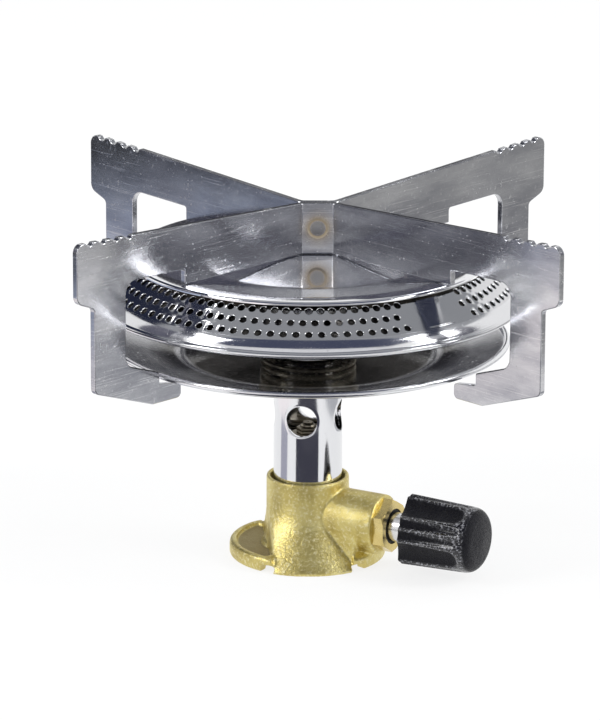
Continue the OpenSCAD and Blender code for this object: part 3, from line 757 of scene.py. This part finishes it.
supportShape = {"seatGap": 0.2, "sheet": 1.5, "angle": 45.0, "facet": 6.3, "bend": 0.8, "bendSteps": 8,
                "facetHeight": 11.8, "reach": 72.8, "rise": 3.3, "endHeight": 13.4, "endDrop": 2.0,
                "legWidth": 9.4, "legInset": 5.1, "step": 3.5, "stepRise": 0.5, "foot": 40.3,
                "jawStep": 48.2, "jawCorner": 2.0, "jawGap": 2.7, "jawSlope": 19.0, "finger": 6.6,
                "fingerDeep": 4.4, "fingerTaper": 0.95, "notch": 1.1, "notchPitch": 3.9, "notches": 4,
                "notchLift": 0.35, "notchSteps": 11, "edgeRound": 0.2, "edgeSteps": 3, "edgeAngle": 40}


def armOutline(base, top):
    # the arm's flat outline: distance along the arm from the middle, and height; the top edge
    # climbs evenly to the tip and has round notches near it
    s = supportShape
    angle = math.radians(s["angle"])
    start = s["facet"] / 2 * math.cos(angle) + (s["sheet"] + s["bend"]) * math.sin(angle)
    reach = s["reach"]
    tip = top + s["rise"]
    endLow = tip - s["endHeight"]
    legOut = reach - s["legInset"]
    legIn = legOut - s["legWidth"]
    lean = math.tan(math.radians(s["jawSlope"]))
    jaw = s["jawStep"]
    jawCorner = jaw + s["jawCorner"]
    fingerLow = frontLow[2]
    fingerTop = fingerLow + s["fingerDeep"]
    fingerEnd = jaw - s["finger"]
    jawTop = fingerTop + s["jawGap"]
    step = base + s["step"]
    corners = [(start, top, 0), (reach, tip, 2.0), (reach, endLow, 2.2),  # along, height, rounding
               (legOut, endLow - s["endDrop"], 1.2),
               (legOut, fingerLow + (legOut - jawCorner) * lean, 1.6), (jawCorner, fingerLow, 1.0),
               (fingerEnd, fingerLow, 1.2), (fingerEnd, fingerTop - s["fingerTaper"], 0.8),
               (jaw, fingerTop, 0.4), (jaw, jawTop, 0.4), (legIn, jawTop + (legIn - jaw) * lean, 3.0),
               (legIn, step + s["stepRise"], 3.0), (s["foot"], step, 0.6), (s["foot"], base, 0.4),
               (start, base, 0)]
    path = roundedPath(corners, 7)
    middle = (reach - np.arange(s["notches"], 0, -1) * s["notchPitch"])[:, None]
    height = top + (middle - start) * s["rise"] / (reach - start) + s["notchLift"]
    dip = math.asin(s["notchLift"] / s["notch"])
    turn = np.linspace(math.pi + dip, fullTurn - dip, s["notchSteps"])
    scoops = np.stack([middle + s["notch"] * np.cos(turn), height + s["notch"] * np.sin(turn)], -1)
    return np.concatenate([path[:1], scoops.reshape(-1, 2), path[1:]])


def makeSupportHalf(name, node, facing):
    # one bent sheet: columns of two points round each bend, then the arm's outline
    # in four blocks of points: right and left of the front face, right and left of the back face
    s = supportShape
    base = discHigh[2] + s["seatGap"]
    top = base + s["facetHeight"]
    along, height = armOutline(base, top).T
    angle = math.radians(s["angle"])
    bends = np.linspace(0, angle, s["bendSteps"] + 1)[:-1]
    radius = s["bend"] + np.array([[0.0], [s["sheet"]]])
    bendX = s["facet"] / 2
    bendY = -s["sheet"] - s["bend"]
    lift = bendX * math.sin(angle) + bendY * math.cos(angle) + radius
    columnX = np.repeat(bendX + radius * np.sin(bends), 2, axis=1)
    columnY = np.repeat(bendY + radius * np.cos(bends), 2, axis=1)
    armX = math.cos(angle) * along + math.sin(angle) * lift
    armY = -math.sin(angle) * along + math.cos(angle) * lift
    x = np.concatenate([columnX, armX], 1)[:, None] * np.array([[1], [-1]])
    y = np.concatenate([columnY, armY], 1)[:, None]
    z = np.concatenate([np.tile([base, top], len(bends)), height])
    points = np.stack(np.broadcast_arrays(x * facing + supportX, y * facing, z), -1)

    size = len(z)
    back = 2 * size  # from a point of the front face to its fellow behind
    arm = 2 * len(bends)
    blocks = np.arange(4)[:, None] * size
    low = np.append(np.arange(0, arm, 2), size - 1)
    high = np.append(np.arange(1, arm, 2), arm)
    strips = np.stack([low[:-1], low[1:], high[1:], high[:-1]], -1)
    ring = np.concatenate([high[:-1], np.arange(arm, size), low[-2::-1]])
    walls = np.stack([ring[:-1], ring[1:], ring[1:] + back, ring[:-1] + back], -1)
    middle = np.array([[0, 1, size + 1, size]])
    ends = np.array([[0, size, size + back, back]])
    quads = [(strips + blocks[..., None]).reshape(-1, 4), middle, middle + back, walls, walls + size,
             ends, ends + 1]
    faces = np.concatenate(quads).tolist() + (np.arange(arm, size) + blocks).tolist()
    piece = makeSkin(name, points * mm, faces, 30)
    bevel = piece.modifiers.new("softEdges", "BEVEL")
    bevel.width = s["edgeRound"] * mm
    bevel.segments = s["edgeSteps"]
    bevel.limit_method = "ANGLE"
    bevel.angle_limit = math.radians(s["edgeAngle"])
    bevel.use_clamp_overlap = True
    normals = piece.modifiers.new("flatFaces", "WEIGHTED_NORMAL")
    normals.keep_sharp = True
    finishPiece(piece, supportSheet, "pot_support", "stainless", node)


# Knob and valve body

knobShape = {"radius": 8.1, "draft": 0.6, "length": 19.8, "dome": 0.8, "cornerRound": 2.9, "pole": 0.3,
             "mouth": 0.35, "mouthRound": 0.3, "mouthEnd": 0.36, "sideFrom": 0.4, "sideSteps": 48,
             "turnSteps": 360, "groups": 4, "groupTurn": 72.7, "grooveSoft": 0.16,
             "wideR": 6.5, "wideDeep": 1.6, "wideFade": (14.0, 18.6),
             "narrowR": 1.6, "narrowDeep": 0.85, "narrowFade": (15.2, 18.5), "narrowOff": 10.5,
             "bore": 3.45, "boreDeep": 1.2, "start": 25.6, "reliefTurn": 251.2, "reliefSlope": 14.0}
noGroove = 99.0  # a wall so far out that it cuts nothing


def alongBoss(across, down, out):
    # a place given along the valve boss: out from the body's axis, down and across it (mm)
    x = out * math.cos(bossAngle) - across * math.sin(bossAngle)
    y = out * math.sin(bossAngle) + across * math.cos(bossAngle)
    return np.stack([x, y, bossHeight - down], -1) * mm


def grooveWall(turn, centre, radius, deep, rim):
    # distance from the axis to a round groove's wall, seen at an angle from its middle
    off = (turn - centre + math.pi) % fullTurn - math.pi
    away = rim - deep + radius
    inside = np.clip(radius ** 2 - (away * np.sin(off)) ** 2, 0, None)
    wall = away * np.cos(off) - np.sqrt(inside)
    return np.where((np.abs(away * np.sin(off)) < radius) & (np.cos(off) > 0), wall, noGroove)


def softStep(value, start, stop):
    # 0 before the start, 1 after the stop, and an S curve between
    k = np.clip((value - start) / (stop - start), 0, 1)
    return k * k * (3 - 2 * k)


def makeKnob():
    # radius as a function of the place along the knob and the turn round it: a drafted side with
    # a rounded end, cut by wide and narrow grooves that run out before the end
    s = knobShape
    rim = s["radius"]
    sideEnd = s["length"] - s["dome"]
    sideTo = sideEnd - s["cornerRound"]
    edge = roundedPath([(0.0, rim - s["mouth"], 0), (0.0, rim - s["mouthRound"], 0),
                        (s["mouth"], rim, s["mouthRound"]),
                        (sideEnd, rim - s["draft"], s["cornerRound"]), (s["length"], s["pole"], 0)], 12)
    lengthwise = np.linspace(s["sideFrom"], sideTo, s["sideSteps"])
    side = np.stack([lengthwise, rim - s["draft"] * lengthwise / sideEnd], -1)
    path = np.concatenate([edge[edge[:, 0] <= s["mouthEnd"]], side, edge[edge[:, 0] > sideTo]])
    out, base = path.T[..., None]
    turn = np.linspace(0, fullTurn, s["turnSteps"], endpoint=False)[None]
    wall = np.full((len(path), s["turnSteps"]), noGroove)
    wideRise = s["wideDeep"] * softStep(out, *s["wideFade"])
    narrowRise = s["narrowDeep"] * softStep(out, *s["narrowFade"])
    off = math.radians(s["narrowOff"])
    for middle in math.radians(s["groupTurn"]) + np.arange(s["groups"]) * fullTurn / s["groups"]:
        between = middle + math.pi / s["groups"]
        wide = grooveWall(turn, between, s["wideR"], s["wideDeep"], rim)
        wall = np.minimum(wall, wide + wideRise)
        for centre in (middle - off, middle + off):
            narrow = grooveWall(turn, centre, s["narrowR"], s["narrowDeep"], rim)
            wall = np.minimum(wall, narrow + narrowRise)
    soft = s["grooveSoft"]
    gap = np.clip(0.5 + 0.5 * (wall - base) / soft, 0, 1)
    cut = wall * (1 - gap) + base * gap - soft * gap * (1 - gap)
    radius = np.where(wall > noGroove / 2, base, cut)
    bore = np.full((2, s["turnSteps"]), s["bore"])
    radius = np.concatenate([bore, radius])
    out = np.concatenate([[[s["boreDeep"]], [0.0]], out])
    aside = np.abs(radius * np.cos(turn - math.radians(s["reliefTurn"])))
    back = aside * math.tan(math.radians(s["reliefSlope"]))  # the inner end slopes back at two sides
    out = back + out * (1 - back / s["length"])
    points = alongBoss(radius * np.sin(turn), radius * np.cos(turn), s["start"] + out)
    piece = makeSkin("controlKnob", *joinGrids([points], [(0, 0), (0, -1)]), 45)
    finishPiece(piece, mouldedPlastic("knobPlastic"), "knob", "knob_plastic", "control_knob")


bodyShape = {"voxel": 0.30, "smooth": 10, "webTurn": -85.0, "webHalf": 9.2, "webSmooth": 40,
             "sideBand": (3.2, 1.5), "sideLow": (2.8, 1.2), "sideHigh": (12.0, 2.0),
             "toeBand": (2.5, 1.5), "toeFrom": (14.5, 1.5), "toeLow": (0.5, 0.8), "toeHigh": (8.0, 2.0),
             "bossFrom": (3.0, 2.0), "bossHalf": 8.5}  # pairs: where a mask starts, how far it fades


def rising(value, start, width):
    return np.clip((value - start) / width, 0, 1)


def falling(value, start, width):
    return np.clip((start - value) / width, 0, 1)


def addSmooth(piece, name, rounds):
    soften = piece.modifiers.new(name, "SMOOTH")
    soften.factor = 0.5
    soften.iterations = rounds
    return soften


def applyModifiers(piece):
    # what the modifiers make becomes the piece's own mesh
    made = piece.evaluated_get(bpy.context.evaluated_depsgraph_get())
    shaped = bpy.data.meshes.new_from_object(made)
    piece.modifiers.clear()
    piece.data = shaped


def makeBody():
    # the forging's soft edges: a copy of the solid, remeshed finely and smoothed, and smoothed
    # again where the foot's sides and toe run out over the flange
    s = bodyShape
    piece = bpy.data.objects.new("valveForging", frame["nodes"]["valve_body"].data.copy())
    bpy.context.scene.collection.objects.link(piece)
    weld(piece)
    remesh = piece.modifiers.new("evenSkin", "REMESH")
    remesh.mode = "VOXEL"
    remesh.voxel_size = s["voxel"] * mm
    addSmooth(piece, "softForging", s["smooth"])
    applyModifiers(piece)
    places = np.empty(len(piece.data.vertices) * 3)
    piece.data.vertices.foreach_get("co", places)
    x, y, z = places.reshape(-1, 3).T / mm
    webTurn = math.radians(s["webTurn"])
    across = np.abs(x * math.sin(webTurn) - y * math.cos(webTurn)) - s["webHalf"]
    sides = falling(np.abs(across), *s["sideBand"]) * rising(z, *s["sideLow"])
    sides = sides * falling(z, *s["sideHigh"])
    toe = falling(across, *s["toeBand"]) * rising(np.hypot(x, y), *s["toeFrom"])
    toe = toe * rising(z, *s["toeLow"]) * falling(z, *s["toeHigh"])
    out = x * math.cos(bossAngle) + y * math.sin(bossAngle)
    aside = np.abs(y * math.cos(bossAngle) - x * math.sin(bossAngle))
    nearBoss = rising(out, *s["bossFrom"]) * (aside < s["bossHalf"])
    share = np.maximum(sides, toe) * (1 - nearBoss)
    group = piece.vertex_groups.new(name="webSides")
    for level in (0.25, 0.5, 0.75, 1.0):
        group.add(np.flatnonzero(share >= level).tolist(), level, "REPLACE")
    addSmooth(piece, "webRunOut", s["webSmooth"]).vertex_group = "webSides"
    applyModifiers(piece)
    smoothShade(piece, 60)
    finishPiece(piece, bodyBrass, "stove", "brass", "valve_body")


def dressSolids():
    finishes = [(nutBrass, ("gland_nut", "depressor_pin")),
                (holderBrass, ("jet_holder", "gas_jet")),
                (stemSteel, ("head_nut", "gland_washer", "valve_spindle", "jet_filter")),
                (softRubber, ("cartridge_seal", "gland_packing", "dust_ring", "seat_disc"))]
    for material, nodes in finishes:
        for node in nodes:
            dress(frame["nodes"][node], material)


makeCap()
makeBowl()
makeFlameRing()
makeSeamLap()
print("stove: burner head made")
makeTray()
makeTube()
makeSpring()
makeSupportHalf("supportFront", "support_front", 1)
makeSupportHalf("supportRear", "support_rear", -1)
makeKnob()
makeBody()
dressSolids()
print("stove: pieces made")


# Studio

studio = {"floorHalf": 4.0, "paperTone": (0.93, 0.93, 0.93), "paperShare": 0.8, "domeLevel": 0.8,
          "domeTone": (0.96, 0.98, 1.0), "cardLift": 0.002, "lampAim": (0, 0, 0.05)}
white = (1, 1, 1)


def paperRays(f):
    # rays that should see the plain white ground: from the camera, off metal and through glass
    camera = f.add("ShaderNodeLightPath", out="Is Camera Ray")
    glossy = f.add("ShaderNodeLightPath", out="Is Glossy Ray")
    through = f.add("ShaderNodeLightPath", out="Is Transmission Ray")
    return (camera + glossy + through).clamped()


def makeWorld():
    world = bpy.data.worlds.new("softStudio")
    bpy.context.scene.world = world
    world.use_nodes = True
    tree = world.node_tree
    tree.nodes.clear()
    f = Finish("softStudio", tree)
    dome = f.add("ShaderNodeBackground", Strength=studio["domeLevel"], Color=studio["domeTone"])
    ground = f.add("ShaderNodeBackground", Strength=1.0, Color=white)
    mix = f.add("ShaderNodeMixShader", in0=paperRays(f), in1=dome, in2=ground)
    output = tree.nodes.new("ShaderNodeOutputWorld")
    tree.links.new(mix.socket, output.inputs["Surface"])


def flatQuad(left, right, near, far, height):
    return [(left, near, height), (right, near, height), (right, far, height), (left, far, height)]


def floorStrip(left, right, near=-0.5, far=0.4):
    return flatQuad(left, right, near, far, studio["cardLift"])


def floorQuad(*places):
    return [(x, y, studio["cardLift"]) for x, y in places]


def wallQuad(start, end, low, high):
    return [(*start, low), (*end, low), (*end, high), (*start, high)]


def makeFloor():
    half = studio["floorHalf"]
    floor = makeObject("studioFloor", flatQuad(-half, half, -half, half, 0), [[0, 1, 2, 3]])
    f = Finish("palePaper")
    f.put(colour=studio["paperTone"], rough=0.9, specular=0.1)
    glow = f.add("ShaderNodeEmission", Strength=1.0, Color=white)
    paper = Wire(f.tree, f.shader.outputs[0])
    mix = f.add("ShaderNodeMixShader", in0=paperRays(f) * studio["paperShare"], in1=paper, in2=glow)
    output = next(n for n in f.tree.nodes if n.type == "OUTPUT_MATERIAL")
    f.tree.links.new(mix.socket, output.inputs["Surface"])
    dress(floor, f.material)


# cards out of the picture that only the metal sees: corners (m) and tone
cards = {"leftNear": (floorStrip(-0.24, -0.11), (1.08, 1.02, 1.03)),
         "leftFar": (floorStrip(-0.325, -0.24), (0.45, 0.50, 0.64)),
         "leftDark": (floorStrip(-2.0, -0.325), (0.03, 0.03, 0.03)),
         "rightNear": (floorStrip(0.11, 0.185), (0.46, 0.47, 0.50)),
         "rightMiddle": (floorStrip(0.185, 0.24), (1.28, 1.27, 1.26)),
         "rightFar": (floorStrip(0.24, 2.0), (0.40, 0.40, 0.40)),
         "tubeFront": (floorQuad((-0.031, -0.039), (-0.068, -0.084), (0.058, -0.084), (0.026, -0.042)),
                       (0.055, 0.055, 0.075)),
         "tubeLeft": (floorQuad((-0.019, -0.007), (-0.103, -0.038), (-0.109, 0.015), (-0.02, 0.003)),
                      (0.42, 0.42, 0.50)),
         "frontNear": (floorStrip(-0.07, 0.06, -0.235, -0.084), (0.07, 0.07, 0.09)),
         "frontFar": (floorQuad((-0.12, -0.235), (0.12, -0.235), (0.4, -2.0), (-0.4, -2.0)),
                      (0.32, 0.32, 0.34)),
         "backLeft": (wallQuad((-1.9, 1.45), (-0.45, 1.45), 0.1, 1.29), (0.02, 0.025, 0.05)),
         "highLeft": (flatQuad(-2.0, -0.6, 0.36, 1.45, 1.29), (0.02, 0.025, 0.05)),
         "rightWall": (wallQuad((1.8, -0.6), (1.8, 0.35), 0, 1.3), (0.10, 0.10, 0.13)),
         "leftWall": (wallQuad((-1.8, -0.6), (-1.8, 0.35), 0, 1.3), (0.12, 0.12, 0.16)),
         "frontLow": (wallQuad((-2, -2), (2, -2), 0, 0.33), (0.95, 0.95, 0.95)),
         "frontWall": (wallQuad((-2, -2), (2, -2), 0.33, 0.76), (0.29, 0.29, 0.32)),
         "frontHigh": (wallQuad((-2, -2), (2, -2), 0.76, 1.3), (0.82, 0.82, 0.84)),
         "backWall": (wallQuad((-0.14, 2), (0.14, 2), 0.1, 0.85), (0.05, 0.05, 0.06)),
         "ceilingFront": (flatQuad(-2, 2, -2, -0.45, 1.3), (0.07, 0.08, 0.13)),
         "ceiling": (flatQuad(-2, 2, -0.45, 1.4, 1.3), (0.34, 0.35, 0.37))}


def makeCards():
    for name, (corners, tone) in cards.items():
        card = makeObject(name, corners, [[0, 1, 2, 3]])
        f = Finish(name)
        f.put(colour=(0, 0, 0), rough=1.0, specular=0.0, emission=tone, emissionStrength=1.0)
        dress(card, f.material)
        card.visible_camera = False
        card.visible_diffuse = False
        card.visible_shadow = False
        card.visible_transmission = False


# softboxes: place (m), size (m) and watts
lamps = {"leftBox": ((-1.1, -0.5, 0.9), (0.5, 0.7), 9),
         "rightBox": ((1.2, -0.3, 0.8), (0.5, 0.7), 10),
         "glintBox": ((-0.69, 0.24, 1.14), (0.14, 0.14), 0.7)}


def makeLamps():
    for name, (place, size, watts) in lamps.items():
        light = bpy.data.lights.new(name, "AREA")
        light.shape = "RECTANGLE"
        light.size, light.size_y = size
        light.energy = watts
        lamp = bpy.data.objects.new(name, light)
        lamp.location = place
        look = Vector(studio["lampAim"]) - Vector(place)
        lamp.rotation_euler = look.to_track_quat("-Z", "Y").to_euler()
        bpy.context.scene.collection.objects.link(lamp)


# the photograph's camera: lengths in mm, focal length in pixels of an image 600 x 720
view = {"distance": 1190.0, "elevation": 16.57, "aim": (-1.91, 0.0, 46.3), "focal": 5205.0, "roll": 0.26,
        "imageHeight": 720.0, "sensor": 36.0, "clip": (0.05, 50)}


def makeCamera():
    lens = bpy.data.cameras.new("photoCamera")
    lens.sensor_width = view["sensor"]
    lens.lens = view["focal"] * view["sensor"] / view["imageHeight"]
    lens.clip_start, lens.clip_end = view["clip"]
    camera = bpy.data.objects.new("photoCamera", lens)
    rise = math.radians(view["elevation"])
    back = Vector((0, -math.cos(rise), math.sin(rise)))
    place = Vector(view["aim"]) * mm + back * view["distance"] * mm
    look = (-back).to_track_quat("-Z", "Y").to_matrix().to_4x4()
    roll = Matrix.Rotation(math.radians(view["roll"]), 4, "Z")
    camera.matrix_world = Matrix.Translation(place) @ look @ roll
    bpy.context.scene.collection.objects.link(camera)
    bpy.context.scene.camera = camera


makeWorld()
makeFloor()
makeCards()
makeLamps()
makeCamera()
bpy.context.scene.view_settings.view_transform = "Standard"
print("stove: studio made")
